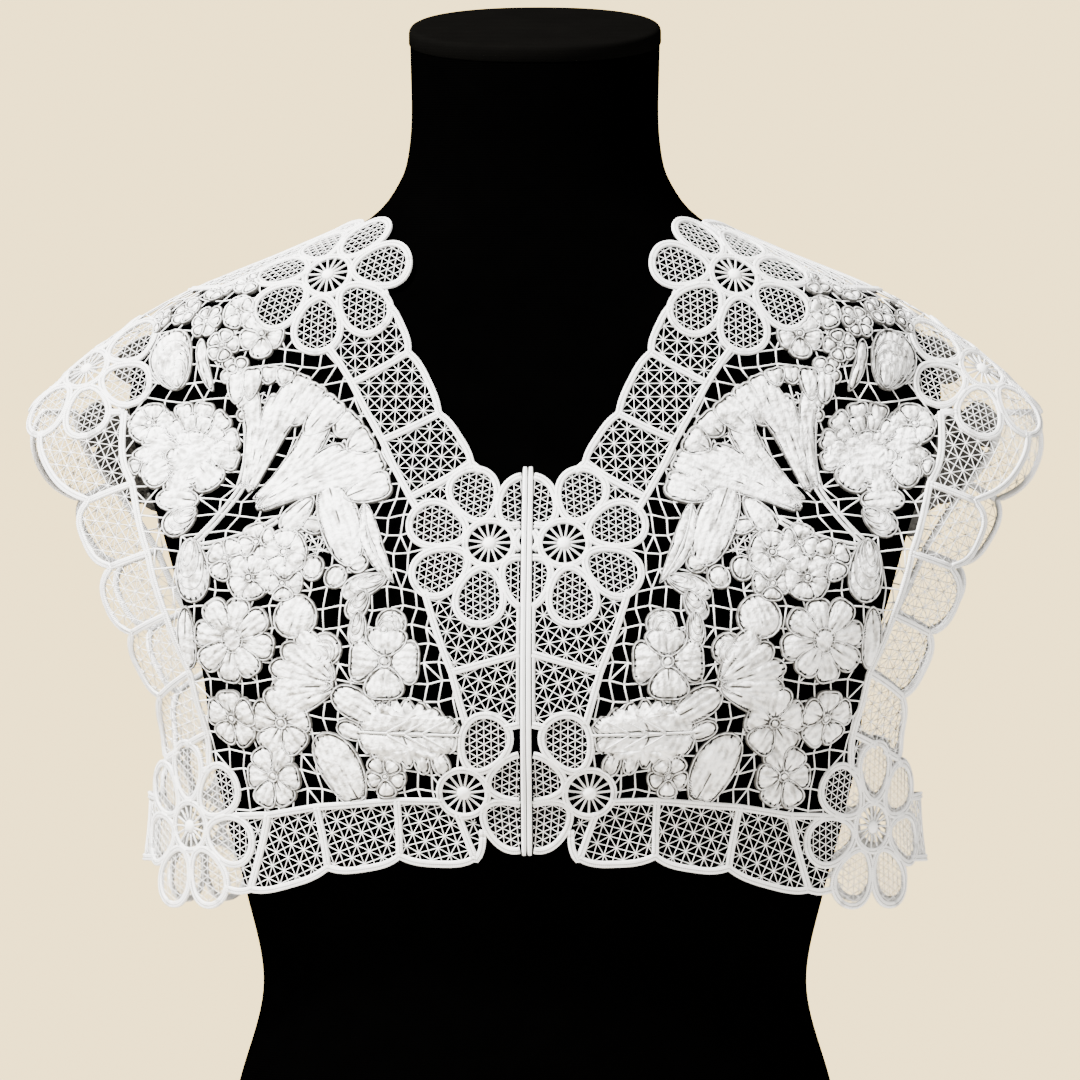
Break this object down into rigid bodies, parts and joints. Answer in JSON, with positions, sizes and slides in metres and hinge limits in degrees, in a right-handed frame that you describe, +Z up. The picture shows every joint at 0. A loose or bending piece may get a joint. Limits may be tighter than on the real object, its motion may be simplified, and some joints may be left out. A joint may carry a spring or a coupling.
{
  "type": "lace collar on dress form",
  "caption": "Short guipure lace collar with floral fields, net borders, daisies and two satin cords at the front, on a smooth black limbless dress form with a flat base.",
  "frame": {"origin": "middle of the form's flat base, on its axis", "axes": "+Z up the form, -Y to the wearer's front, +X to the wearer's left"},
  "size_m": [0.4678, 0.249, 0.6181],
  "materials": {
    "form_cloth": "matte black cloth",
    "neck_cap": "matte black, slightly smoother than the form",
    "lace": "white cotton embroidery thread",
    "satin_cord": "white satin cord"
  },
  "bodies": {
    "root": {"form_torso": "form_cloth", "form_neck_cap": "neck_cap", "back_panel": "lace", "neck_border_back": "lace", "hem_border_back": "lace", "front_panel_L": "lace", "front_panel_R": "lace", "neck_border_front_L": "lace", "neck_border_front_R": "lace", "front_edge_border_L": "lace", "front_edge_border_R": "lace", "hem_border_front_L": "lace", "hem_border_front_R": "lace", "armhole_border_front_L": "lace", "armhole_border_front_R": "lace", "armhole_border_back_L": "lace", "armhole_border_back_R": "lace", "side_net_L": "lace", "side_net_R": "lace", "neck_daisy_L": "lace", "neck_daisy_R": "lace", "front_daisy_L": "lace", "front_daisy_R": "lace", "shoulder_daisy_L": "lace", "shoulder_daisy_R": "lace", "underarm_daisy_front_L": "lace", "underarm_daisy_front_R": "lace", "underarm_daisy_back_L": "lace", "underarm_daisy_back_R": "lace", "hem_wheel_L": "lace", "hem_wheel_R": "lace", "edge_cord_L": "satin_cord", "edge_cord_R": "satin_cord"}
  },
  "joints": []
}
